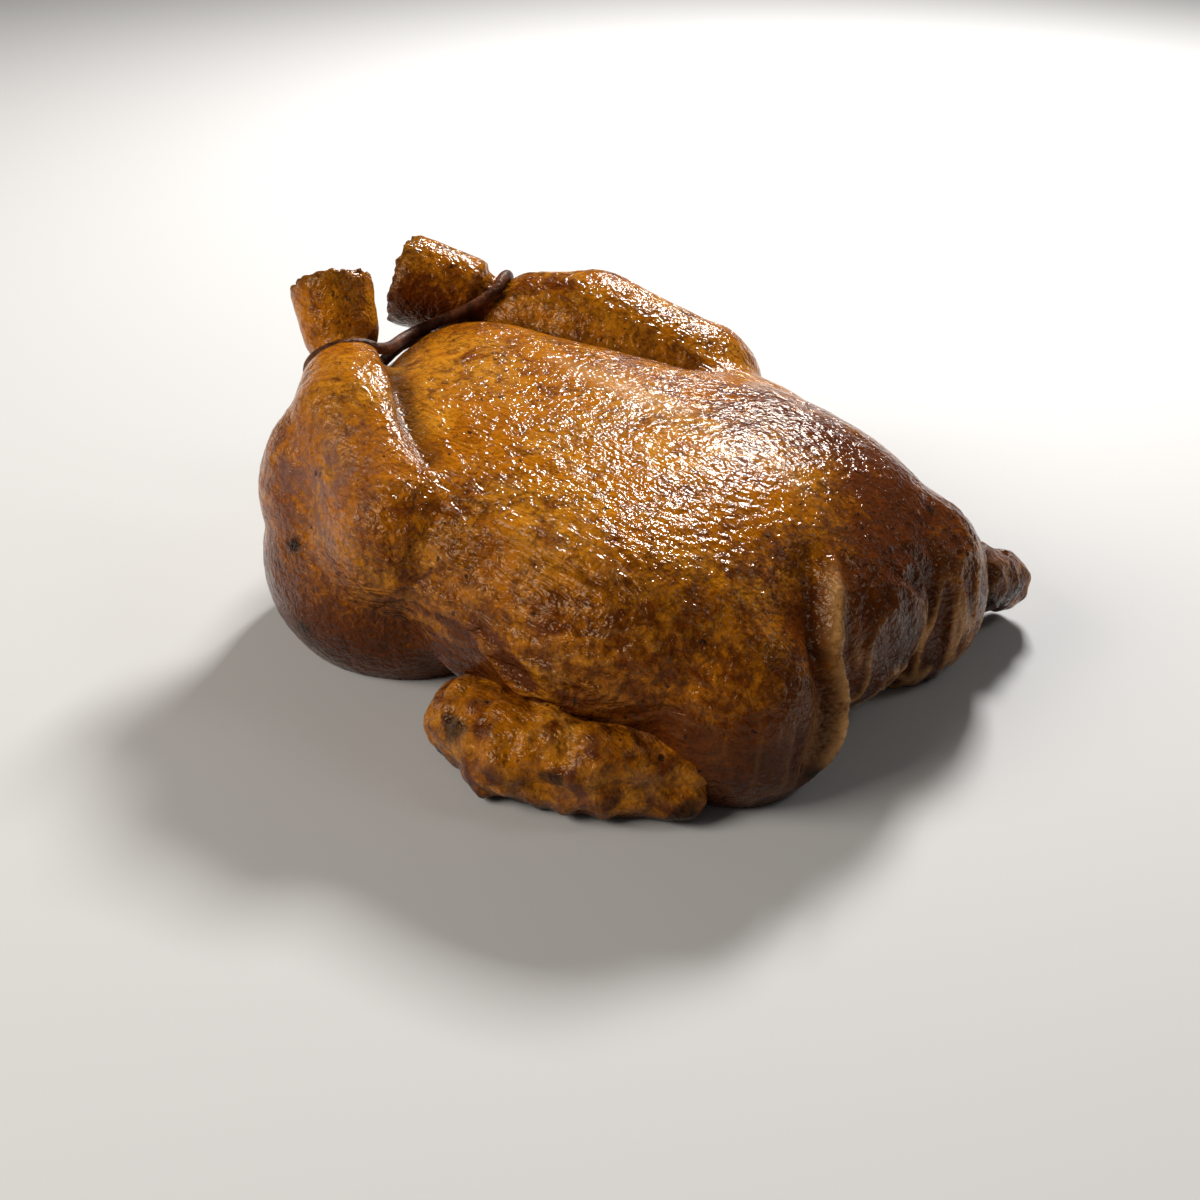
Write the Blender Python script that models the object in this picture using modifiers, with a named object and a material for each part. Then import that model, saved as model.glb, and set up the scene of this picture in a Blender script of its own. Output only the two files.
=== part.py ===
"""Whole roast chicken, trussed with an elastic tie round its ankles.

Run with: blender --background --python part.py

The bird lies on its back, breast up. +X runs from the tail to the neck, +Y is the bird's
right side, +Z is up, and the origin is on the surface that it lies on. Metres throughout.
"""

import math

import bmesh
import bpy
from mathutils import Matrix, Vector

# ---- Driving dimensions ----------------------------------------------------------------
NEAR, FAR = -1, 1  # the two sides of the bird, along Y

VOXEL = 0.0024  # grain at which the forms are blended into one body
SOFTENING = 9  # smoothing passes over the blended body
FACE_SHARE = 0.102  # share of the blended faces that is kept
CENTRING = (0.0144, 0.00045, 0.0)  # puts the origin under the middle of the bird

ANKLE = (-0.1045, 0.036, 0.0835)
KNUCKLE_AIM = {NEAR: (-0.486, 0.256, 0.836), FAR: (-0.82, -0.50, 0.26)}
KNUCKLE_END = {NEAR: 0.030, FAR: 0.036}  # from the ankle to the cut face
KNUCKLE_RADIUS = {NEAR: 0.0155, FAR: 0.0186}
TIE_NORMAL = {NEAR: (-0.70, 0.42, 0.59), FAR: (-0.83, -0.42, 0.32)}
TIE_RADIUS = 0.0125  # loop round each ankle
TIE_THICKNESS = 0.0032
TIE_SET_BACK = 0.003  # from the ankle toward the knee
TIE_CLEARANCE = 0.0003

SKIN_COLOUR = (0.46, 0.17, 0.02, 1.0)
TIE_COLOUR = (0.16, 0.08, 0.05, 1.0)


# ---- Helpers ---------------------------------------------------------------------------
def clear_scene():
    for obj in list(bpy.data.objects):
        bpy.data.objects.remove(obj, do_unlink=True)


def collection(name):
    made = bpy.data.collections.new(name)
    bpy.context.scene.collection.children.link(made)
    return made


def material(name, colour, roughness):
    made = bpy.data.materials.new(name)
    made.use_nodes = True
    shader = made.node_tree.nodes["Principled BSDF"]
    shader.inputs["Base Color"].default_value = colour
    shader.inputs["Roughness"].default_value = roughness
    return made


def ellipsoid(centre, radii, pitch=0.0):
    """One muscle: an ellipsoid with its long axis along X, nose down by pitch degrees."""
    bm = bmesh.new()
    place = (
        Matrix.Translation(centre)
        @ Matrix.Rotation(math.radians(pitch), 4, "Y")
        @ Matrix.Diagonal((*radii, 1.0))
    )
    bmesh.ops.create_uvsphere(bm, u_segments=40, v_segments=24, radius=1.0, matrix=place)
    return bm


def limb(stations, steps=10):
    """A tapering limb through (x, y, z, radius) stations, as a chain of balls."""
    bm = bmesh.new()
    for (*start, r0), (*end, r1) in zip(stations, stations[1:]):
        for k in range(steps + 1):
            t = k / steps
            ball = Matrix.Translation(Vector(start).lerp(Vector(end), t))
            radius = r0 + (r1 - r0) * t
            bmesh.ops.create_uvsphere(
                bm, u_segments=24, v_segments=14, radius=radius, matrix=ball
            )
    return bm


def mirrored(side, x, y, z):
    return (x, side * y, z)


# ---- The bird's forms ------------------------------------------------------------------
def torso():
    yield ellipsoid((0.006, 0, 0.044), (0.104, 0.034, 0.041))  # keel
    for side in (NEAR, FAR):
        breast = mirrored(side, 0.024, 0.034, 0.042)
        flank = mirrored(side, 0.018, 0.052, 0.034)
        shoulder = mirrored(side, 0.081, 0.043, 0.026)
        fold = mirrored(side, -0.014, 0.060, 0.046)
        yield ellipsoid(breast, (0.082, 0.048, 0.040), pitch=4)
        yield ellipsoid(flank, (0.078, 0.038, 0.037))
        yield ellipsoid(shoulder, (0.033, 0.034, 0.037))
        yield ellipsoid(fold, (0.050, 0.030, 0.030))
    yield ellipsoid((-0.060, 0, 0.048), (0.064, 0.052, 0.040))  # belly
    yield ellipsoid((0.066, 0, 0.036), (0.046, 0.048, 0.038))  # neck end
    yield ellipsoid((0.000, 0, 0.022), (0.105, 0.078, 0.028))  # back
    yield ellipsoid((-0.108, 0, 0.020), (0.026, 0.020, 0.013), pitch=-12)  # tail


def leg(side):
    ankle = mirrored(side, *ANKLE)
    calf = mirrored(side, -0.070, 0.060, 0.074)
    knee = mirrored(side, -0.030, 0.074, 0.057)
    hip = mirrored(side, -0.060, 0.058, 0.034)
    yield limb([(*ankle, 0.012), (*calf, 0.0245), (*knee, 0.026)])
    yield limb([(*knee, 0.027), (*hip, 0.036)])
    yield ellipsoid(mirrored(side, -0.060, 0.054, 0.026), (0.052, 0.047, 0.046))
    yield ellipsoid(mirrored(side, -0.074, 0.058, 0.050), (0.036, 0.036, 0.034))


def knuckle(side):
    """The chopped end of the leg, a short barrel past the ankle with a flat cut face."""
    aim = Vector(KNUCKLE_AIM[side]).normalized()
    turn = aim.to_track_quat("Z", "Y").to_matrix().to_4x4()
    length = KNUCKLE_END[side] - 0.004
    middle = Vector(mirrored(side, *ANKLE)) + aim * (KNUCKLE_END[side] - length / 2)
    bm = bmesh.new()
    bmesh.ops.create_cone(
        bm, cap_ends=True, segments=32, radius1=KNUCKLE_RADIUS[side] * 0.86,
        radius2=KNUCKLE_RADIUS[side], depth=length, matrix=Matrix.Translation(middle) @ turn,
    )
    yield bm


def near_wing():
    yield limb([(0.078, -0.066, 0.026, 0.015), (0.012, -0.086, 0.018, 0.014)])
    yield limb([(0.006, -0.089, 0.014, 0.016), (0.050, -0.090, 0.012, 0.014)])
    yield limb([(0.050, -0.090, 0.012, 0.014), (0.080, -0.068, 0.012, 0.011)])


def far_wing():
    yield limb([(0.078, 0.066, 0.026, 0.015), (0.012, 0.086, 0.018, 0.014)])
    yield limb([(0.006, 0.089, 0.015, 0.015), (0.100, 0.080, 0.020, 0.013)])


# ---- The tie ---------------------------------------------------------------------------
def tie_turn(side):
    """Points of the band round one ankle, from its lower strand to its upper strand."""
    normal = Vector(TIE_NORMAL[side]).normalized()
    centre = Vector(mirrored(side, *ANKLE)) - normal * TIE_SET_BACK
    inward = Vector((0, -side, 0))
    inward = (inward - normal * inward.dot(normal)).normalized()
    upward = inward.cross(normal) * -side
    points = []
    for degrees in range(60, 301, 24):
        turn = math.radians(degrees)
        reach = inward * math.cos(turn) - upward * math.sin(turn)
        points.append(centre + reach * TIE_RADIUS)
    return points


def tie_loop(name, thickness):
    near, far = tie_turn(NEAR), tie_turn(FAR)
    middle = Vector((-0.1080, 0, 0.0805))
    lift = Vector((0.001, 0, 0.0019))
    points = [*near, middle + lift, *reversed(far), middle - lift]
    curve = bpy.data.curves.new(name, "CURVE")
    curve.dimensions = "3D"
    curve.bevel_depth = thickness / 2
    curve.bevel_resolution = 2
    curve.resolution_u = 3
    spline = curve.splines.new("BEZIER")
    spline.use_cyclic_u = True
    spline.bezier_points.add(len(points) - 1)
    for knot, point in zip(spline.bezier_points, points):
        knot.co = point + Vector(CENTRING)
        knot.handle_left_type = "AUTO"
        knot.handle_right_type = "AUTO"
    return bpy.data.objects.new(name, curve)


# ---- Assembly --------------------------------------------------------------------------
def body(name):
    whole = bmesh.new()
    forms = [*torso(), *leg(NEAR), *leg(FAR), *knuckle(NEAR), *knuckle(FAR)]
    forms += [*near_wing(), *far_wing()]
    for form in forms:
        mesh = bpy.data.meshes.new("form")
        form.to_mesh(mesh)
        form.free()
        whole.from_mesh(mesh)
        bpy.data.meshes.remove(mesh)
    whole.transform(Matrix.Translation(CENTRING))
    mesh = bpy.data.meshes.new(name)
    whole.to_mesh(mesh)
    whole.free()
    return bpy.data.objects.new(name, mesh)


def floor_block(name):
    bm = bmesh.new()
    place = Matrix.Translation((0, 0, -0.05)) @ Matrix.Diagonal((0.4, 0.4, 0.1, 1.0))
    bmesh.ops.create_cube(bm, size=1.0, matrix=place)
    mesh = bpy.data.meshes.new(name)
    bm.to_mesh(mesh)
    bm.free()
    return bpy.data.objects.new(name, mesh)


def as_mesh(obj, name):
    """A mesh object with the same shape as a curve object, which it stands in for."""
    mesh = bpy.data.meshes.new_from_object(obj)
    mesh.name = name
    bpy.data.objects.remove(obj, do_unlink=True)
    return bpy.data.objects.new(name, mesh)


def cut(target, cutter):
    cutter.hide_render = True
    cutter.display_type = "WIRE"
    boolean = target.modifiers.new(cutter.name, "BOOLEAN")
    boolean.operation = "DIFFERENCE"
    boolean.solver = "EXACT"
    boolean.object = cutter


def build():
    clear_scene()
    parts = collection("roast_chicken_parts")
    cutters = collection("cutters")

    chicken = body("roast_chicken")
    parts.objects.link(chicken)
    chicken.data.materials.append(material("roast_skin", SKIN_COLOUR, 0.35))
    blend = chicken.modifiers.new("Blend", "REMESH")
    blend.mode = "VOXEL"
    blend.voxel_size = VOXEL
    soften = chicken.modifiers.new("Soften", "SMOOTH")
    soften.factor = 0.5
    soften.iterations = SOFTENING
    thin = chicken.modifiers.new("Thin", "DECIMATE")
    thin.ratio = FACE_SHARE

    underside = floor_block("underside_cut")
    cutters.objects.link(underside)
    cut(chicken, underside)

    groove = tie_loop("tie_groove_path", TIE_THICKNESS + 2 * TIE_CLEARANCE)
    cutters.objects.link(groove)
    groove = as_mesh(groove, "tie_groove")
    cutters.objects.link(groove)
    cut(chicken, groove)

    tie = tie_loop("leg_tie_path", TIE_THICKNESS)
    parts.objects.link(tie)
    tie = as_mesh(tie, "leg_tie")
    parts.objects.link(tie)
    tie.data.materials.clear()
    tie.data.materials.append(material("tie_band", TIE_COLOUR, 0.3))


build()
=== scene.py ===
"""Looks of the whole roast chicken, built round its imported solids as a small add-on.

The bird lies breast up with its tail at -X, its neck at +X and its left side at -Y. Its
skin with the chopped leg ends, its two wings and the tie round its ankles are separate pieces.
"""

import json
import math
from types import SimpleNamespace

import bmesh
import bpy
import numpy as np
from bpy.props import FloatProperty, FloatVectorProperty, PointerProperty
from mathutils import Matrix, Vector, noise


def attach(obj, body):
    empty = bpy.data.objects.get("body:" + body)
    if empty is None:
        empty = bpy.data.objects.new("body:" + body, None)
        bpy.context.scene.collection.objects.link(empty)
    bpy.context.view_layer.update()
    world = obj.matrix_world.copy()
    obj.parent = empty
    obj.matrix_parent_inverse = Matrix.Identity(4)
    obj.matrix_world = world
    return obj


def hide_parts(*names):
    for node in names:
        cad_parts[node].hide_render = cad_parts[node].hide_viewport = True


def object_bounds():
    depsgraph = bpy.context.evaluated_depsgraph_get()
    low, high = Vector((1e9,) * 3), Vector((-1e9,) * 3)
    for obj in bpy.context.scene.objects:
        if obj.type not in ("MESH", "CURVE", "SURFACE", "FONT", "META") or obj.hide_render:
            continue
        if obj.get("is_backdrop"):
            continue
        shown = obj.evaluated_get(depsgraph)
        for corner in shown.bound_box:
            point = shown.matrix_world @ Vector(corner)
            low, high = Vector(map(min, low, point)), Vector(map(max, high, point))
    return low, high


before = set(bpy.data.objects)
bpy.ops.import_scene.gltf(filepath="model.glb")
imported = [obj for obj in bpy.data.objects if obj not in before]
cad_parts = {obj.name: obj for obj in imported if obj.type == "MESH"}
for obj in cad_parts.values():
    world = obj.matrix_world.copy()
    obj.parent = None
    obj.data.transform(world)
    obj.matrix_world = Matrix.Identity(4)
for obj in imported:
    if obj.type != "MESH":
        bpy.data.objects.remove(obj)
loaded_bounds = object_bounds()

bl_info = {
    "name": "Roast Chicken Looks",
    "version": (1, 0, 0),
    "blender": (4, 5, 0),
    "location": "View3D > Sidebar > Roast",
    "description": "Builds the skin, wings, leg ends and tie of a roast chicken",
    "category": "Add Mesh",
}

LEFT, RIGHT = -1, 1  # sides of the bird, along Y
MIDDLE = np.array((0.0144, 0.00045, 0.0))  # where the bird's own axes cross on the floor

ANKLE = (-0.1045, 0.036, 0.0835)
KNUCKLE_AIM = {LEFT: (-0.486, 0.256, 0.836), RIGHT: (-0.82, -0.50, 0.26)}
KNUCKLE_END = {LEFT: 0.030, RIGHT: 0.036}
KNUCKLE_RADIUS = {LEFT: 0.0155, RIGHT: 0.0186}
TIE_NORMAL = {LEFT: (-0.70, 0.42, 0.59), RIGHT: (-0.83, -0.42, 0.32)}
TIE_RADIUS = 0.0138  # loop round each ankle
TIE_SET_BACK = 0.003  # from the ankle toward the knee
TIE_PINCH = (0.0046, 0.0042)  # width and depth of the dent that the tie makes in the skin

CREASE = (0.0034, 0.0095)  # width and depth of the crease inside the left leg
CREASE_SHADE = 0.0052  # width of the painted shade along it
RIGHT_CREASE = (0.004, 0.003)
NECK_LIP = (0.0030, 0.0034)  # width and height of the rolled edge of the neck fold
NECK_RECESS = (0.016, 0.0062)  # reach and depth of the hollow behind that edge

AMBER = (0.45, 0.140, 0.002)
GOLD = (0.64, 0.250, 0.013)
BROWN = (0.12, 0.024, 0.001)
RUST = (0.23, 0.055, 0.002)
DEEP_RED = (0.150, 0.026, 0.001)
UMBER = (0.060, 0.013, 0.002)
# burnt dark brown, also the colour of the painted shade in creases and under the wings
SCORCH_AND_SHADE = (0.026, 0.006, 0.002)
# pale tan, also the colour of the painted light on wrinkle crests
BLUSH = (0.56, 0.28, 0.09)
# colour of the painted greyish sheen
SHEEN_GREY = (0.21, 0.095, 0.075)
CHAR = (0.006, 0.004, 0.004)
TIE_BROWN = (0.14, 0.045, 0.018)
TIE_STAIN = (0.030, 0.010, 0.005)
CAMERA_AT = (0.3015, -0.3559, 0.2937)  # from the bird's own axes
CAMERA_DIP = 31.6  # degrees below level
CAMERA_TURN = 41.5  # degrees round from looking along +Y
WARM_SHEEN = (1.0, 0.78, 0.54, 1.0)  # what the fat on the skin gives back of white light


# ---- Forms -------------------------------------------------------------------------------
def mirrored(side, x, y, z):
    return (x, side * y, z)


def points_and_faces(bm):
    """A mesh's points and triangles as plain numbers."""
    bmesh.ops.triangulate(bm, faces=bm.faces)
    points = np.array([vert.co for vert in bm.verts])
    faces = np.array([[vert.index for vert in face.verts] for face in bm.faces])
    bm.free()
    return points, faces


def unit_ball(fineness):
    bm = bmesh.new()
    bmesh.ops.create_icosphere(bm, subdivisions=fineness, radius=1.0)
    bm.verts.index_update()
    return points_and_faces(bm)


class Forms:
    """Overlapping closed forms, given in the bird's own axes and gathered for blending."""

    def __init__(self):
        self.points = []
        self.faces = []
        self.count = 0
        self.big_ball = unit_ball(5)
        self.middling_ball = unit_ball(4)
        self.small_ball = unit_ball(3)

    def add(self, points, faces, place):
        """Adds one closed form, moved to its place."""
        place = np.array(place)
        self.points.append(points @ place[:3, :3].T + place[:3, 3] + MIDDLE)
        self.faces.append(faces + self.count)
        self.count += len(points)

    def ellipsoid(self, centre, radii, pitch=0.0):
        """One muscle, with its long axis along X and nose down by pitch degrees."""
        place = (
            Matrix.Translation(centre)
            @ Matrix.Rotation(math.radians(pitch), 4, "Y")
            @ Matrix.Diagonal((*radii, 1.0))
        )
        self.add(*self.big_ball, place)

    def stretched(self, *ellipsoids):
        """One convex form, as skin pulled tight over (centre, radii) ellipsoids."""
        bm = bmesh.new()
        for centre, radii in ellipsoids:
            for point in self.middling_ball[0] * radii + centre:
                bm.verts.new(point)
        hull = bmesh.ops.convex_hull(bm, input=bm.verts)
        inside = [part for part in hull["geom_interior"] if isinstance(part, bmesh.types.BMVert)]
        bmesh.ops.delete(bm, geom=inside, context="VERTS")
        bm.verts.index_update()
        self.add(*points_and_faces(bm), Matrix.Identity(4))

    def limb(self, *stations, steps=14):
        """A tapering limb through (x, y, z, radius) stations, as a chain of balls."""
        for (*start, r0), (*end, r1) in zip(stations, stations[1:]):
            for k in range(steps + 1):
                t = k / steps
                at = Vector(start).lerp(Vector(end), t)
                place = Matrix.Translation(at) @ Matrix.Scale(r0 + (r1 - r0) * t, 4)
                self.add(*self.small_ball, place)

    def barrel(self, centre, aim, length, foot, top):
        """A short closed cone along aim, from the foot radius to the top radius."""
        bm = bmesh.new()
        bmesh.ops.create_cone(
            bm, cap_ends=True, segments=48, radius1=foot, radius2=top, depth=length
        )
        bm.verts.index_update()
        turn = Vector(aim).to_track_quat("Z", "Y").to_matrix().to_4x4()
        self.add(*points_and_faces(bm), Matrix.Translation(centre) @ turn)

    def blended(self, name, grain, passes):
        """One closed skin over the forms: blended at the grain size, then softened."""
        mesh = bpy.data.meshes.new(name)
        mesh.from_pydata(np.concatenate(self.points), [], np.concatenate(self.faces))
        obj = bpy.data.objects.new(name, mesh)
        bpy.context.scene.collection.objects.link(obj)
        bpy.ops.object.select_all(action="DESELECT")
        bpy.context.view_layer.objects.active = obj
        obj.select_set(True)
        remesh = obj.modifiers.new("Blend", "REMESH")
        remesh.mode = "VOXEL"
        remesh.voxel_size = grain
        bpy.ops.object.modifier_apply(modifier=remesh.name)
        soften = obj.modifiers.new("Soften", "SMOOTH")
        soften.factor = 0.5
        soften.iterations = passes
        bpy.ops.object.modifier_apply(modifier=soften.name)
        bpy.ops.object.shade_smooth()
        return obj


def torso_forms(forms):
    """Keel, breast, flanks, shoulders, belly, neck end, back and tail."""
    forms.ellipsoid((0.006, 0, 0.044), (0.104, 0.034, 0.041))
    for side in (LEFT, RIGHT):
        breast = mirrored(side, 0.024, 0.034, 0.042)
        forms.ellipsoid(breast, (0.082, 0.048, 0.040), pitch=4)
        forms.ellipsoid(mirrored(side, 0.018, 0.052, 0.034), (0.078, 0.038, 0.037))
        forms.ellipsoid(mirrored(side, 0.081, 0.043, 0.026), (0.033, 0.034, 0.037))
        forms.ellipsoid(mirrored(side, -0.014, 0.060, 0.046), (0.050, 0.030, 0.030))
    forms.ellipsoid((-0.060, 0, 0.048), (0.064, 0.052, 0.040))
    forms.ellipsoid((0.066, 0, 0.036), (0.046, 0.048, 0.038))
    forms.ellipsoid((0.000, 0, 0.022), (0.105, 0.078, 0.028))
    forms.ellipsoid((-0.108, 0, 0.020), (0.026, 0.020, 0.013), pitch=-12)


def leg_forms(forms, side):
    """Drumstick from ankle to knee, and thigh from knee to hip."""
    ankle = mirrored(side, *ANKLE)
    calf = mirrored(side, -0.070, 0.060, 0.074)
    knee = mirrored(side, -0.030, 0.074, 0.057)
    hip = mirrored(side, -0.060, 0.058, 0.034)
    forms.limb((*ankle, 0.012), (*calf, 0.0245), (*knee, 0.026))
    forms.limb((*knee, 0.027), (*hip, 0.036))
    forms.ellipsoid(mirrored(side, -0.060, 0.054, 0.026), (0.052, 0.047, 0.046))
    forms.ellipsoid(mirrored(side, -0.074, 0.058, 0.050), (0.036, 0.036, 0.034))


def skin_web_forms(forms):
    """Skin stretched over the hollows between leg, hip and breast."""
    forms.stretched(
        ((0.006, 0.000, 0.044), (0.104, 0.034, 0.041)),
        ((0.024, -0.034, 0.042), (0.080, 0.046, 0.040)),
        ((0.024, 0.034, 0.042), (0.080, 0.046, 0.040)),
        ((-0.060, 0.000, 0.048), (0.060, 0.050, 0.040)),
        ((-0.078, 0.004, 0.054), (0.038, 0.042, 0.036)),
        ((-0.008, -0.030, 0.048), (0.066, 0.046, 0.037)),
        ((-0.013, -0.054, 0.052), (0.046, 0.037, 0.030)),
        ((-0.045, -0.044, 0.058), (0.034, 0.026, 0.031)),
        ((0.030, -0.048, 0.042), (0.064, 0.045, 0.039)),
        ((0.038, 0.000, 0.045), (0.064, 0.060, 0.040)),
    )
    forms.ellipsoid((0.004, 0.058, 0.046), (0.040, 0.032, 0.028))
    for side in (LEFT, RIGHT):
        forms.ellipsoid(mirrored(side, -0.074, 0.064, 0.058), (0.030, 0.028, 0.030))


def knuckle_form(forms, side):
    """The chopped end of the leg, past the ankle."""
    aim = Vector(KNUCKLE_AIM[side]).normalized()
    length = KNUCKLE_END[side] - 0.004
    centre = Vector(mirrored(side, *ANKLE)) + aim * (KNUCKLE_END[side] - length / 2)
    radius = KNUCKLE_RADIUS[side]
    forms.barrel(centre, aim, length, radius * 0.86, radius)


# ---- Sculpting in numbers ------------------------------------------------------------------
class Surface:
    """The points and normals of a piece, in the bird's own axes, with sculpting strokes."""

    def __init__(self, obj):
        self.mesh = obj.data
        self.read()

    def read(self):
        count = len(self.mesh.vertices)
        flat = np.empty(count * 3)
        self.mesh.vertices.foreach_get("co", flat)
        self.at = flat.reshape(-1, 3) - MIDDLE
        self.mesh.vertex_normals.foreach_get("vector", flat)
        self.out = flat.reshape(-1, 3).copy()

    def write(self):
        self.mesh.vertices.foreach_set("co", (self.at + MIDDLE).ravel())
        self.mesh.update()
        self.read()

    def relax(self, passes, where=1.0):
        """Evens the points out, as thin skin does over a sharp step."""
        edges = np.empty(len(self.mesh.edges) * 2, dtype=np.int64)
        self.mesh.edges.foreach_get("vertices", edges)
        a, b = edges.reshape(-1, 2).T
        count = np.bincount(edges, minlength=len(self.at))
        share = np.broadcast_to(where, len(self.at)) / 2
        for _ in range(passes):
            for axis in range(3):
                at = self.at[:, axis]
                total = np.bincount(a, at[b], len(at)) + np.bincount(b, at[a], len(at))
                self.at[:, axis] = at + (total / count - at) * share
        self.write()

    def push(self, depth):
        self.at = self.at + self.out * np.asarray(depth)[:, None]

    def grain(self, per_metre, seed, stretch=(1, 1, 1)):
        """Smooth noise from -1 to 1, with about one lump to each 1 / per_metre."""
        where = self.at * per_metre * np.asarray(stretch) + seed * 17.31
        return np.array([noise.noise(p) for p in where.tolist()])

    def spot(self, centre, radii, power=2.0):
        """1 at the centre, falling off over the radii, and more steeply at a higher power."""
        far = np.linalg.norm((self.at - np.asarray(centre)) / np.asarray(radii), axis=1)
        return np.exp(-(far**power))

    def lay(self, path, steps=8):
        """A path's points, filled in between and laid down on the surface."""
        path = np.asarray(path, float)
        shares = np.arange(steps) / steps
        dense = [a + t * (b - a) for a, b in zip(path, path[1:]) for t in shares]
        dense.append(path[-1])
        nearest = [np.argmin(np.sum((self.at - point) ** 2, axis=1)) for point in dense]
        laid = self.at[nearest]
        for _ in range(4):
            laid[1:-1] = (laid[:-2] + laid[2:] + 2 * laid[1:-1]) / 4
        return laid

    def along(self, path):
        """Distance from a path, which side of it, and how far along it, for every point."""
        path = self.lay(path)
        lengths = np.linalg.norm(np.diff(path, axis=0), axis=1)
        starts = np.concatenate(([0], np.cumsum(lengths)))
        best = np.full(len(self.at), 1e9)
        side = np.zeros(len(self.at))
        progress = np.zeros(len(self.at))
        for k, (a, b) in enumerate(zip(path, path[1:])):
            step = b - a
            t = np.clip((self.at - a) @ step / (step @ step), 0, 1)
            gap = self.at - (a + t[:, None] * step)
            far = np.linalg.norm(gap, axis=1)
            nearer = far < best
            best = np.where(nearer, far, best)
            turn = np.einsum("ij,ij->i", np.cross(step[None, :], self.out), gap)
            side = np.where(nearer, np.sign(turn), side)
            progress = np.where(nearer, (starts[k] + t * lengths[k]) / starts[-1], progress)
        return best, side, progress

    def keep(self, name, values):
        """Stores a value for each point, which the skin's material reads by name."""
        made = self.mesh.attributes.new(name, "FLOAT", "POINT")
        made.data.foreach_set("value", np.clip(values, 0, 1).astype(np.float32))


def fade(value, low, high):
    """A smooth rise from 0 to 1 as the value goes from low to high."""
    t = np.clip((value - low) / (high - low), 0, 1)
    return t * t * (3 - 2 * t)


def bell(far, width):
    """1 on a line, falling to nothing over about twice the width."""
    return np.exp(-((far / width) ** 2))


def fading_ends(progress, share):
    """Fades a stroke in and out over a share of its length."""
    return fade(progress, 0, share) * fade(1 - progress, 0, share)


# ---- Skin ----------------------------------------------------------------------------------
LEG_CREASE = (
    (-0.094, -0.024, 0.088), (-0.070, -0.043, 0.090), (-0.050, -0.056, 0.090),
    (-0.036, -0.065, 0.086), (-0.022, -0.071, 0.082),
)
FAR_LEG_CREASE = (
    (-0.090, 0.026, 0.085), (-0.060, 0.036, 0.084), (-0.030, 0.050, 0.078),
    (0.000, 0.064, 0.070),
)
NECK_FOLD = (
    (0.084, -0.008, 0.069), (0.098, -0.021, 0.057), (0.107, -0.031, 0.043),
    (0.111, -0.037, 0.022), (0.106, -0.046, 0.004),
)
KEEL = (
    (-0.066, 0.006, 0.086), (-0.020, 0.004, 0.086), (0.040, 0.004, 0.083), (0.094, 0, 0.065),
)
CHARRED_SPOTS = ((-0.065, -0.096, 0.046), (-0.060, -0.099, 0.018), (0.110, -0.042, 0.010))


def ridges(s, per_metre, seed, stretch):
    """Sharp-crested wrinkles, from 0 in the hollows to 1 on the crests."""
    bent = s.grain(per_metre, seed, stretch)
    return 1 - np.abs(bent) * 2.2


def sculpt_folds(s):
    """Creases beside the legs, the neck fold and the pinch of the tie."""
    far, _, progress = s.along(LEG_CREASE)
    width, depth = CREASE
    s.push(-depth * bell(far, width) * (1 - 0.6 * progress))
    # painted shade: the skin along the crease is darkened as if shade falls in it
    hollow = 0.95 * bell(far, CREASE_SHADE) * (1 - 0.5 * progress)

    far, _, progress = s.along(FAR_LEG_CREASE)
    width, depth = RIGHT_CREASE
    crease = bell(far, width) * fading_ends(progress, 0.2)
    s.push(-depth * crease)
    # painted shade along the right leg's crease as well
    hollow = np.maximum(hollow, crease * 0.5)

    far, side, progress = s.along(NECK_FOLD)
    ends = fade(progress, 0, 0.25) * fade(1 - progress, 0, 0.2)
    lip_width, lip_height = NECK_LIP
    reach, depth = NECK_RECESS
    lip = bell(far, lip_width) * ends
    recess = (side > 0) * bell(far, reach) * fade(far, 0, 0.005) * ends
    s.push(lip_height * lip - depth * recess)
    s.write()

    gap = np.full(len(s.at), 1.0)
    for point in tie_turn(LEFT) + tie_turn(RIGHT):
        gap = np.minimum(gap, np.linalg.norm(s.at - np.array(point), axis=1))
    width, depth = TIE_PINCH
    s.push(-depth * bell(gap, width))
    s.write()
    s.relax(3)
    return hollow, lip


def sculpt_wrinkles(s):
    """Wrinkles by region. Gives back the regions and crests, which the colours follow: painted
    shade in the hollows and painted light on the crests.
    """
    w = SimpleNamespace()
    w.flank = s.spot((0.035, -0.080, 0.052), (0.062, 0.030, 0.030))
    w.belly_side = s.spot((-0.012, -0.088, 0.052), (0.036, 0.026, 0.028))
    w.neck = s.spot((0.106, 0.014, 0.026), (0.026, 0.052, 0.034))
    w.folded = s.spot((0.026, -0.086, 0.036), (0.036, 0.024, 0.018))
    w.knee_skin = s.spot((-0.006, -0.070, 0.074), (0.024, 0.022, 0.020))
    w.along_bird = ridges(s, 150, 11, (0.30, 1, 1))
    w.up_neck = ridges(s, 150, 12, (1, 1, 0.20))
    w.loose = ridges(s, 95, 13, (0.45, 1, 1))
    slanting = ridges(s, 190, 16, (0.8, 0.8, 0.5))
    everywhere = ridges(s, 210, 14, (0.7, 1, 1))
    s.push(
        0.0007 * w.along_bird * w.flank + 0.0005 * slanting * w.belly_side
        + 0.0004 * slanting * w.knee_skin + 0.0020 * w.up_neck * w.neck
        + 0.0026 * w.loose * w.folded + 0.00022 * everywhere
    )
    s.write()
    return w


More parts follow.
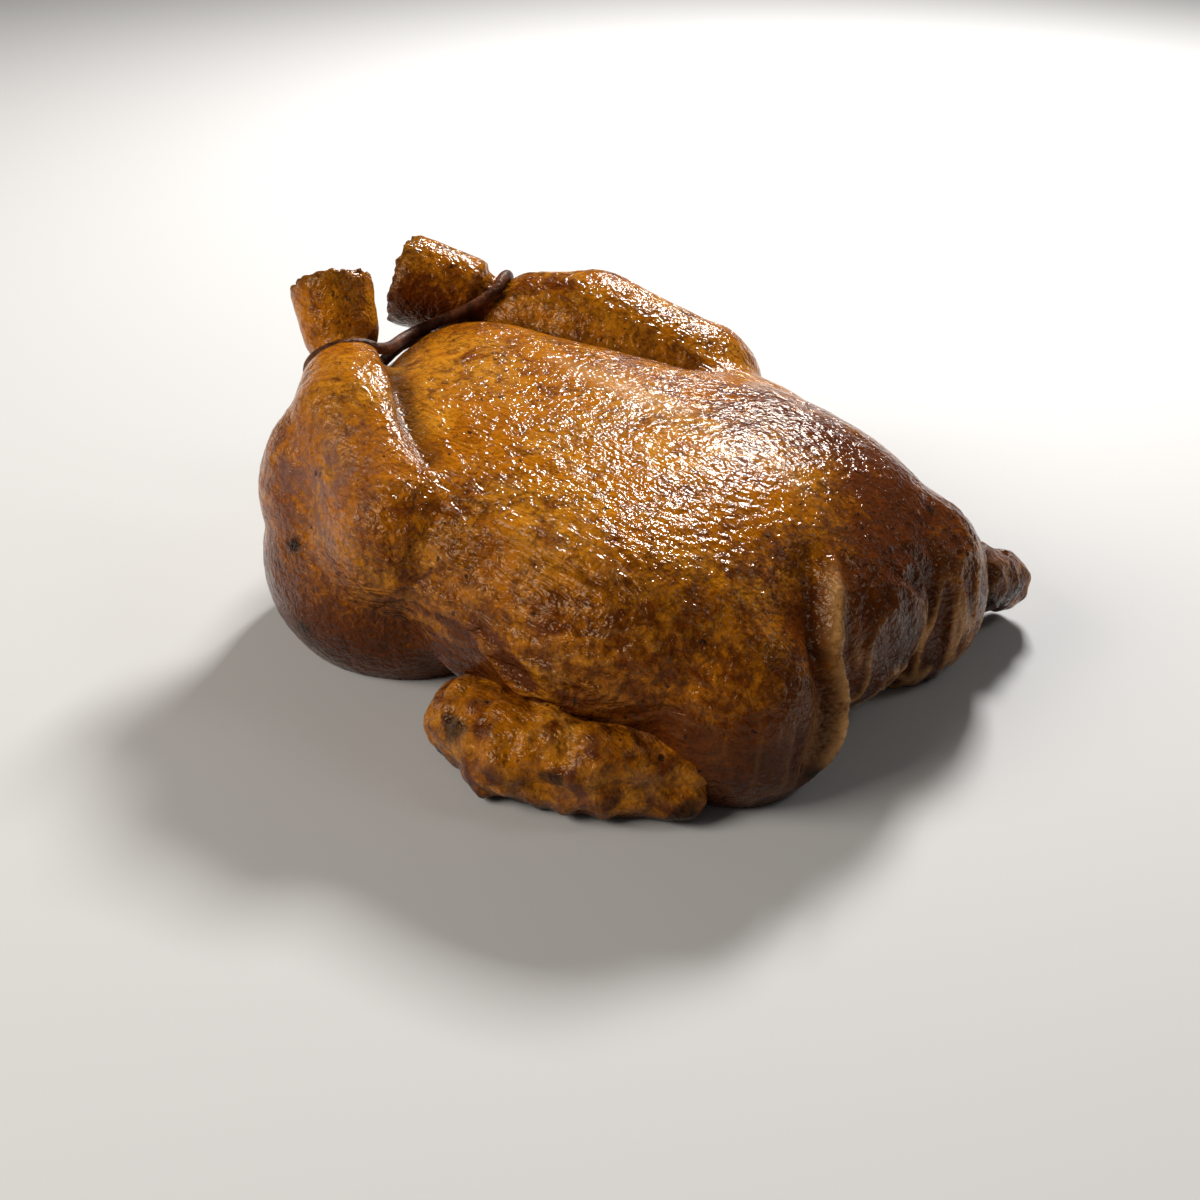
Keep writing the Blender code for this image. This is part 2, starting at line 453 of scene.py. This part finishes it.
def roughen_leg_ends(s, hollow):
    """Rough cut faces with ragged rims. Gives back the painted shade with the darker cut faces
    added.
    """
    for side in (LEFT, RIGHT):
        aim = np.array(Vector(KNUCKLE_AIM[side]).normalized())
        end = np.array(mirrored(side, *ANKLE)) + aim * KNUCKLE_END[side]
        past = (s.at - end) @ aim
        from_end = np.linalg.norm(s.at - end, axis=1)
        near = from_end < KNUCKLE_RADIUS[side] * 1.4
        face = fade(past, -0.005, -0.001) * near
        rim = face * fade(from_end, 0.007, 0.013)
        pitted = face * (0.0014 * s.grain(260, 15 + side) - 0.0010)
        s.push(pitted + rim * 0.0012 * s.grain(420, 18))
        # the cut faces, and the skin just short of them, made darker and kept with the painted
        # shade
        hollow = np.maximum(hollow, 0.55 * face)
        hollow = np.maximum(hollow, 0.35 * fade(past, -0.009, -0.003) * near)
    s.write()
    return hollow


def brown_and_shade_skin(s, w):
    """How brown each point is, with painted shade and light mixed in: darkest low down, on the
    neck face and at the right ankle.
    """
    # painted shade: darker low down, towards the floor
    low = fade(0.045 - s.at[:, 2], 0, 0.045)
    toast = 0.10 + 0.65 * low + 0.20 * s.grain(30, 21)
    toast += 0.50 * s.spot((0.058, 0.034, 0.076), (0.046, 0.024, 0.018))
    toast += 0.40 * s.spot((-0.060, -0.095, 0.030), (0.040, 0.020, 0.030))
    # painted shade on the lower left shoulder and the neck face, turned away from the window
    # light; the neck face is partly browner as well
    toast += 0.50 * s.spot((0.088, -0.050, 0.028), (0.034, 0.034, 0.030))
    toast += 0.45 * s.spot((0.100, 0.015, 0.045), (0.026, 0.050, 0.030))
    toast += 1.4 * s.spot((-0.120, 0.022, 0.078), (0.024, 0.024, 0.015))
    # painted shade: darker in the hollows of the neck, flank and fold wrinkles
    toast += 0.5 * w.neck * (1 - fade(w.up_neck, 0.2, 0.9))
    toast += 0.18 * w.flank * (1 - fade(w.along_bird, 0.2, 0.9))
    toast += 0.5 * w.folded * (1 - fade(w.loose, 0.2, 0.9))
    # painted light: lighter on the top of the left leg end and the left drumstick, where the
    # window light falls
    toast -= 0.50 * s.spot((-0.117, -0.030, 0.104), (0.020, 0.020, 0.022), 4)
    toast -= 0.30 * s.spot((-0.070, -0.060, 0.092), (0.036, 0.022, 0.022))
    s.keep("toast", toast)


def light_streak_and_crests(s, w, lip):
    """Lighter skin: a broken pale streak on the keel, lighter along the neck's rolled edge, and
    painted light on the wrinkle crests.
    """
    far, _, progress = s.along(KEEL)
    streak = fade(s.grain(70, 22, (0.3, 1, 1)), -0.25, 0.35)
    pale = 0.55 * bell(far, 0.0060) * fading_ends(progress, 0.3) * streak
    pale += 0.9 * lip ** 3
    # painted light on the wrinkle crests of the lower neck face and the flank
    pale += 0.8 * w.neck * fade(w.up_neck, 0.45, 0.95) * fade(0.055 - s.at[:, 2], 0, 0.03)
    pale += 0.15 * w.flank * fade(w.along_bird, 0.7, 1.0)
    s.keep("pale", pale)


def sculpt_skin(s):
    dome = s.spot((0.015, 0.0, 0.085), (0.095, 0.070, 0.040), 6)
    s.relax(120, dome)
    s.push(0.0005 * s.grain(38, 1) + 0.0004 * s.grain(85, 2))
    s.write()
    hollow, lip = sculpt_folds(s)
    w = sculpt_wrinkles(s)
    hollow = roughen_leg_ends(s, hollow)

    brown_and_shade_skin(s, w)
    light_streak_and_crests(s, w, lip)
    # painted shade in the creases, with the darker cut faces of the leg ends
    s.keep("hollow", hollow)
    # painted sheen: a greyish reflection on the left thigh
    bloom = s.spot((-0.055, -0.090, 0.070), (0.024, 0.020, 0.020))
    bloom += 0.7 * s.spot((-0.085, -0.060, 0.060), (0.018, 0.030, 0.022))
    s.keep("bloom", bloom * 0.8)
    charred = sum(s.spot(spot, (0.0035, 0.0035, 0.0025)) for spot in CHARRED_SPOTS)
    s.keep("char", 1.3 * charred)
    crepe = 1.2 * w.belly_side + w.flank + w.folded + 0.6 * w.neck + 0.5 * w.knee_skin
    s.keep("crepe", crepe)


def flatten_underside(s):
    """Rests the piece on the surface that the bird lies on."""
    s.at[:, 2] = np.maximum(s.at[:, 2], 0.0)
    s.write()


def make_skin(grain):
    forms = Forms()
    torso_forms(forms)
    skin_web_forms(forms)
    for side in (LEFT, RIGHT):
        leg_forms(forms, side)
        knuckle_form(forms, side)
    skin = forms.blended("roast_skin", grain, 10)
    s = Surface(skin)
    sculpt_skin(s)
    flatten_underside(s)
    return skin


# ---- Wings ---------------------------------------------------------------------------------
def sculpt_wing(s, seed, burnt):
    """Lumps, wrinkles and browning of a wing, which burnt darkens from 0 to 1."""
    crest = ridges(s, 150, seed + 2, (0.5, 1, 1))
    s.push(0.0016 * s.grain(90, seed) + 0.0013 * s.grain(190, seed + 1) + 0.0005 * crest)
    s.write()
    flatten_underside(s)
    blotches = 0.5 * s.grain(60, seed + 3) + 0.6 * s.grain(150, seed + 6)
    s.keep("toast", 0.05 + 0.6 * burnt + blotches)
    # painted shade: the wing darkened where it comes near the floor
    s.keep("hollow", 0.9 * fade(0.009 - s.at[:, 2], 0, 0.008))
    s.keep("crepe", np.full(len(s.at), 0.3))
    # painted sheen in random greyish patches
    s.keep("bloom", 0.3 * fade(s.grain(70, seed + 4), 0.1, 0.5))
    # painted light on the wing's wrinkle crests
    s.keep("pale", 0.12 * fade(crest, 0.7, 1.0))
    least, most = 0.42 - 0.4 * burnt, 0.65 - 0.3 * burnt
    s.keep("char", 0.8 * fade(s.grain(80, seed + 5), least, most))


def make_left_wing(grain):
    """The left wing, folded flat in front of the shoulder."""
    forms = Forms()
    forms.limb((0.014, -0.094, 0.011, 0.0140), (0.040, -0.096, 0.014, 0.0160))
    forms.limb((0.040, -0.096, 0.014, 0.0160), (0.064, -0.088, 0.018, 0.0120))
    forms.limb((0.064, -0.088, 0.020, 0.010), (0.086, -0.072, 0.016, 0.007))
    forms.limb((0.034, -0.101, 0.009, 0.012), (0.066, -0.089, 0.010, 0.010))
    forms.limb((0.060, -0.094, 0.008, 0.009), (0.088, -0.075, 0.008, 0.006))
    wing = forms.blended("left_wing", grain, 6)
    sculpt_wing(Surface(wing), 31, 0.0)
    return wing


def make_right_wing(grain):
    """The right wing, charred but for its bent tip."""
    forms = Forms()
    forms.limb((0.078, 0.062, 0.026, 0.014), (0.098, 0.074, 0.022, 0.012))
    forms.limb((0.098, 0.074, 0.022, 0.012), (0.100, 0.092, 0.014, 0.010))
    forms.limb((0.010, 0.086, 0.016, 0.015), (0.090, 0.082, 0.018, 0.013))
    wing = forms.blended("right_wing", grain, 6)
    s = Surface(wing)
    tip = s.spot((0.100, 0.094, 0.014), (0.013, 0.011, 0.012))
    sculpt_wing(s, 41, 1 - tip)
    return wing


# ---- Tie -----------------------------------------------------------------------------------
def tie_turn(side):
    """Points of the band round one ankle, from its lower strand to its upper strand."""
    normal = Vector(TIE_NORMAL[side]).normalized()
    centre = Vector(mirrored(side, *ANKLE)) - normal * TIE_SET_BACK
    inward = Vector((0, -side, 0))
    inward = (inward - normal * inward.dot(normal)).normalized()
    upward = inward.cross(normal) * -side
    points = []
    for degrees in range(60, 301, 24):
        turn = math.radians(degrees)
        reach = inward * math.cos(turn) - upward * math.sin(turn)
        points.append(centre + reach * TIE_RADIUS)
    return points


def tie_points():
    """Both turns and the two strands that cross between the ankles."""
    near, far = tie_turn(LEFT), tie_turn(RIGHT)
    middle = Vector((-0.1080, 0, 0.0805))
    lift = Vector((0.001, 0, 0.0019))
    return [*near, middle + lift, *reversed(far), middle - lift]


def make_tie(width):
    curve = bpy.data.curves.new("ankle_tie", "CURVE")
    curve.dimensions = "3D"
    curve.bevel_depth = width / 2
    curve.bevel_resolution = 3
    curve.resolution_u = 6
    spline = curve.splines.new("BEZIER")
    spline.use_cyclic_u = True
    points = tie_points()
    spline.bezier_points.add(len(points) - 1)
    for knot, point in zip(spline.bezier_points, points):
        knot.co = point + Vector(MIDDLE)
        knot.handle_left_type = "AUTO"
        knot.handle_right_type = "AUTO"
    drawn = bpy.data.objects.new("tie_path", curve)
    bpy.context.scene.collection.objects.link(drawn)
    mesh = bpy.data.meshes.new_from_object(drawn)
    bpy.data.objects.remove(drawn, do_unlink=True)
    tie = bpy.data.objects.new("ankle_tie", mesh)
    bpy.context.scene.collection.objects.link(tie)
    for face in mesh.polygons:
        face.use_smooth = True
    return tie


# ---- Finishes ------------------------------------------------------------------------------
class Wire:
    """A value in a shader, on which sums and products add Math nodes."""

    def __init__(self, finish, socket):
        self.finish = finish
        self.socket = socket

    def __add__(self, other):
        return self.finish.maths("ADD", self, other)

    def __mul__(self, other):
        return self.finish.maths("MULTIPLY", self, other)

    __radd__ = __add__
    __rmul__ = __mul__


class Finish:
    """One procedural material, with short ways to add the nodes that it uses."""

    def __init__(self, name):
        self.material = bpy.data.materials.new(name)
        self.material.use_nodes = True
        self.nodes = self.material.node_tree.nodes
        self.links = self.material.node_tree.links
        self.shader = self.nodes["Principled BSDF"]
        self.place = self.node("ShaderNodeTexCoord", {}, {}, "Object")

    def feed(self, socket, value):
        if isinstance(value, Wire):
            self.links.new(value.socket, socket)
        elif isinstance(value, tuple) and len(value) == 3 and len(socket.default_value) == 4:
            socket.default_value = (*value, 1.0)
        else:
            socket.default_value = value

    def node(self, kind, settings, values, output=0):
        made = self.nodes.new(kind)
        for name, value in settings.items():
            setattr(made, name, value)
        for name, value in values.items():
            self.feed(made.inputs[name], value)
        return Wire(self, made.outputs[output])

    def maths(self, operation, a, b):
        return self.node("ShaderNodeMath", {"operation": operation}, {0: a, 1: b})

    def step(self, value, low, high):
        """A smooth rise from 0 to 1 as the value goes from low to high."""
        settings = {"interpolation_type": "SMOOTHSTEP"}
        values = {"Value": value, "From Min": low, "From Max": high}
        return self.node("ShaderNodeMapRange", settings, values)

    def mix(self, share, a, b):
        return self.node("ShaderNodeMix", {"data_type": "RGBA"}, {0: share, 6: a, 7: b}, 2)

    def stretched(self, x, y, z):
        return self.node("ShaderNodeMapping", {}, {"Vector": self.place, "Scale": (x, y, z)})

    def noise(self, scale, detail=4.0, rough=0.55, distortion=0.0, where=None):
        values = {
            "Vector": where or self.place, "Scale": scale, "Detail": detail,
            "Roughness": rough, "Distortion": distortion,
        }
        return self.node("ShaderNodeTexNoise", {}, values, "Fac")

    def cells(self, scale):
        values = {"Vector": self.place, "Scale": scale}
        return self.node("ShaderNodeTexVoronoi", {}, values, "Distance")

    def sculpted(self, name):
        return self.node("ShaderNodeAttribute", {"attribute_name": name}, {}, "Fac")

    def relief(self, height, depth):
        values = {"Height": height, "Distance": depth, "Strength": 1.0}
        return self.node("ShaderNodeBump", {}, values)

    def wear(self, obj, **values):
        for name, value in values.items():
            self.feed(self.shader.inputs[name.replace("_", " ")], value)
        obj.data.materials.clear()
        obj.data.materials.append(self.material)


def skin_colour(f, settings, share_of_brown, mottle, speckle):
    """Amber skin with golden, rusty, browned and scorched areas, from light to dark; the
    browning also carries painted shade.
    """
    patches = f.noise(32, 5, 0.6, 0.6)
    toast = f.sculpted("toast")
    golden = f.step(patches * 0.9 + mottle * 0.35, 0.54, 0.74)
    colour = f.mix(golden, tuple(settings.amber), tuple(settings.gold))
    rust = f.noise(75, 7, 0.7, 1.2)
    colour = f.mix(f.step(rust, 0.50, 0.62) * 0.55, colour, RUST)
    deep = f.noise(36, 10, 0.72, 0.8) + mottle * 0.35 + toast * 0.08
    colour = f.mix(f.step(deep, 0.68, 0.86) * 0.9, colour, DEEP_RED)
    browned = toast + mottle * 1.1 + speckle * 0.5 + (patches * 0.8 + share_of_brown)
    colour = f.mix(f.step(browned, 1.15, 1.80), colour, BROWN)
    network = f.step(mottle * 0.6 + speckle * 0.9 + toast * 0.15, 0.66, 0.98)
    colour = f.mix(network * 0.6, colour, UMBER)
    freckles = f.step(f.noise(1100, 3, 0.6), 0.52, 0.68)
    colour = f.mix(freckles * 0.30, colour, UMBER)
    return f.mix(f.step(browned, 1.75, 2.5) * 0.8, colour, SCORCH_AND_SHADE)


def marked_skin(f, colour, hollow, bloom, mottle):
    """Pale streaks, painted greyish sheen, painted shade in the hollows and burnt flecks over
    the skin's colour.
    """
    # the pale keel streak and rolled edge, with painted light on the wrinkle crests
    colour = f.mix(f.sculpted("pale") * f.step(mottle, 0.30, 0.52), colour, BLUSH)
    # painted greyish sheen
    colour = f.mix(bloom * f.step(mottle, 0.35, 0.6), colour, SHEEN_GREY)
    # painted shade in the creases and under the wings, and the darker cut faces
    colour = f.mix(hollow, colour, SCORCH_AND_SHADE)
    flecks = f.step(f.noise(240, 2, 0.5), 0.69, 0.74)
    colour = f.mix(flecks * 0.8, colour, CHAR)
    return f.mix(f.sculpted("char"), colour, CHAR)


def skin_height(f):
    """Fine goose skin, with fine lines along the bird and crepe where it is slack."""
    skin = f.noise(330, 2.5, 0.5, 0.6)
    lines = f.noise(300, 2, 0.5, 1.6, f.stretched(0.35, 1.0, 1.0))
    fine = f.noise(900, 0, 0.5, 0.0)
    wavy = f.noise(190, 2, 0.5, 1.2, f.stretched(0.30, 1.0, 0.8)) * f.sculpted("crepe")
    pores = f.step(f.cells(300), 0.0, 0.45)
    return skin * 0.8 + wavy * 2.4 + lines * 0.5 + fine * 0.12 + pores * 0.10


def finish_skin(obj, settings, share_of_brown):
    """Glossy roast skin. A larger share of brown makes it darker all over."""
    f = Finish(obj.name + "_finish")
    mottle = f.noise(120, 8, 0.68, 0.8)
    speckle = f.noise(520, 6, 0.65, 0.4)
    hollow = f.sculpted("hollow")
    bloom = f.sculpted("bloom")
    colour = skin_colour(f, settings, share_of_brown, mottle, speckle)
    colour = marked_skin(f, colour, hollow, bloom, mottle)
    rough = f.step(mottle, 0.35, 0.7) * 0.12 + 0.09 + bloom * 0.22 + hollow * 0.12
    f.wear(obj, Base_Color=colour, Roughness=rough, Normal=f.relief(skin_height(f), 0.0011))
    f.shader.inputs["Specular IOR Level"].default_value = 0.24
    f.shader.inputs["Specular Tint"].default_value = WARM_SHEEN


def finish_tie(obj):
    """Dull brown rubber, stained by the roasting."""
    f = Finish("tie_finish")
    stain = f.noise(180, 5, 0.6)
    colour = f.mix(f.step(stain, 0.35, 0.65), TIE_BROWN, TIE_STAIN)
    f.wear(obj, Base_Color=colour, Roughness=0.4, Normal=f.relief(f.noise(700), 0.0006))
    f.shader.inputs["Specular IOR Level"].default_value = 0.12
    f.shader.inputs["Specular Tint"].default_value = WARM_SHEEN


# ---- Stage ---------------------------------------------------------------------------------
def floor():
    bpy.ops.mesh.primitive_plane_add(size=6.0)
    made = bpy.context.object
    made.name = "studio_floor"
    f = Finish("studio_floor_finish")
    f.wear(made, Base_Color=(0.56, 0.55, 0.535), Roughness=0.8)
    made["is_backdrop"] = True


def softbox(name, at, size, power, colour=(1, 1, 1)):
    data = bpy.data.lights.new(name, "AREA")
    data.shape = "RECTANGLE"
    data.size, data.size_y = size
    data.energy = power
    data.color = colour
    lamp = bpy.data.objects.new(name, data)
    lamp.location = at
    lamp.rotation_euler = (Vector((0, 0, 0.04)) - Vector(at)).to_track_quat("-Z", "Y").to_euler()
    bpy.context.scene.collection.objects.link(lamp)


def studio():
    floor()
    world = bpy.data.worlds.new("studio_world")
    world.use_nodes = True
    sky = world.node_tree.nodes["Background"]
    sky.inputs["Color"].default_value = (1.0, 1.0, 1.0, 1.0)
    sky.inputs["Strength"].default_value = 0.07
    bpy.context.scene.world = world
    bpy.context.scene.view_settings.view_transform = "Standard"
    softbox("window_light", (-0.40, 0.92, 0.84), (0.26, 0.20), 25)
    softbox("side_light", (0.75, 0.55, 0.95), (0.35, 0.35), 1.5)
    softbox("room_fill", (-0.55, -1.05, 0.90), (0.8, 0.6), 15, (1.0, 0.94, 0.87))
    data = bpy.data.cameras.new("table_camera")
    data.lens = 45
    data.sensor_width = 36
    data.clip_start = 0.01
    camera = bpy.data.objects.new("table_camera", data)
    camera.location = (CAMERA_AT[0] + MIDDLE[0], CAMERA_AT[1] + MIDDLE[1], CAMERA_AT[2])
    camera.rotation_euler = (math.radians(90 - CAMERA_DIP), 0, math.radians(CAMERA_TURN))
    bpy.context.scene.collection.objects.link(camera)
    bpy.context.scene.camera = camera


# ---- The add-on ----------------------------------------------------------------------------
class RoastSettings(bpy.types.PropertyGroup):
    """Sizes and colours of the roast bird"""

    grain: FloatProperty(
        name="Skin grain", description="Size of the finest sculpted step of the skin",
        default=0.00145, unit="LENGTH",
    )
    tie_width: FloatProperty(
        name="Tie width", description="Thickness of the band round the ankles",
        default=0.0044, unit="LENGTH",
    )
    amber: FloatVectorProperty(
        name="Amber", description="Colour of most of the skin",
        default=AMBER, subtype="COLOR",
    )
    gold: FloatVectorProperty(
        name="Gold", description="Colour of the lightest skin",
        default=GOLD, subtype="COLOR",
    )


class ROAST_OT_skin(bpy.types.Operator):
    """Build the roast skin of body, legs and leg ends"""

    bl_idname = "roast.skin"
    bl_label = "Roast skin"

    def execute(self, context):
        settings = context.scene.roast
        grain = settings.grain * 1
        skin = make_skin(grain)
        finish_skin(skin, settings, 0.0)
        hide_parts("roast_chicken")
        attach(skin, "root")
        return {"FINISHED"}


class ROAST_OT_wings(bpy.types.Operator):
    """Build both folded wings"""

    bl_idname = "roast.wings"
    bl_label = "Wings"

    def execute(self, context):
        settings = context.scene.roast
        grain = settings.grain * 0.75
        for wing in (make_left_wing(grain), make_right_wing(grain)):
            finish_skin(wing, settings, 0.12)
            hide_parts("roast_chicken")
            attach(wing, "root")
        return {"FINISHED"}


class ROAST_OT_tie(bpy.types.Operator):
    """Build the elastic tie round the ankles"""

    bl_idname = "roast.tie"
    bl_label = "Ankle tie"

    def execute(self, context):
        tie = make_tie(context.scene.roast.tie_width)
        finish_tie(tie)
        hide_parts("leg_tie")
        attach(tie, "root")
        return {"FINISHED"}


class ROAST_OT_stage(bpy.types.Operator):
    """Set the floor, lights and camera"""

    bl_idname = "roast.stage"
    bl_label = "Stage"

    def execute(self, context):
        studio()
        return {"FINISHED"}


class ROAST_PT_panel(bpy.types.Panel):
    """Settings and steps of the roast bird"""

    bl_label = "Roast Chicken"
    bl_space_type = "VIEW_3D"
    bl_region_type = "UI"
    bl_category = "Roast"

    def draw(self, context):
        for name in ("grain", "tie_width", "amber", "gold"):
            self.layout.prop(context.scene.roast, name)
        for step in STEPS:
            self.layout.operator(step.bl_idname)


STEPS = (ROAST_OT_skin, ROAST_OT_wings, ROAST_OT_tie, ROAST_OT_stage)
CLASSES = (RoastSettings, *STEPS, ROAST_PT_panel)


def register():
    for cls in CLASSES:
        bpy.utils.register_class(cls)
    bpy.types.Scene.roast = PointerProperty(type=RoastSettings)


def unregister():
    del bpy.types.Scene.roast
    for cls in reversed(CLASSES):
        bpy.utils.unregister_class(cls)


def as_lists(bounds):
    """Bounds with every vector in them as a plain list."""
    return json.loads(json.dumps(bounds, default=list))


def main():
    register()
    bpy.ops.roast.skin()
    bpy.ops.roast.wings()
    bpy.ops.roast.tie()
    bpy.ops.roast.stage()
    sizes = {"frame": as_lists(loaded_bounds), "finished": as_lists(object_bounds())}


if __name__ == "__main__":
    main()
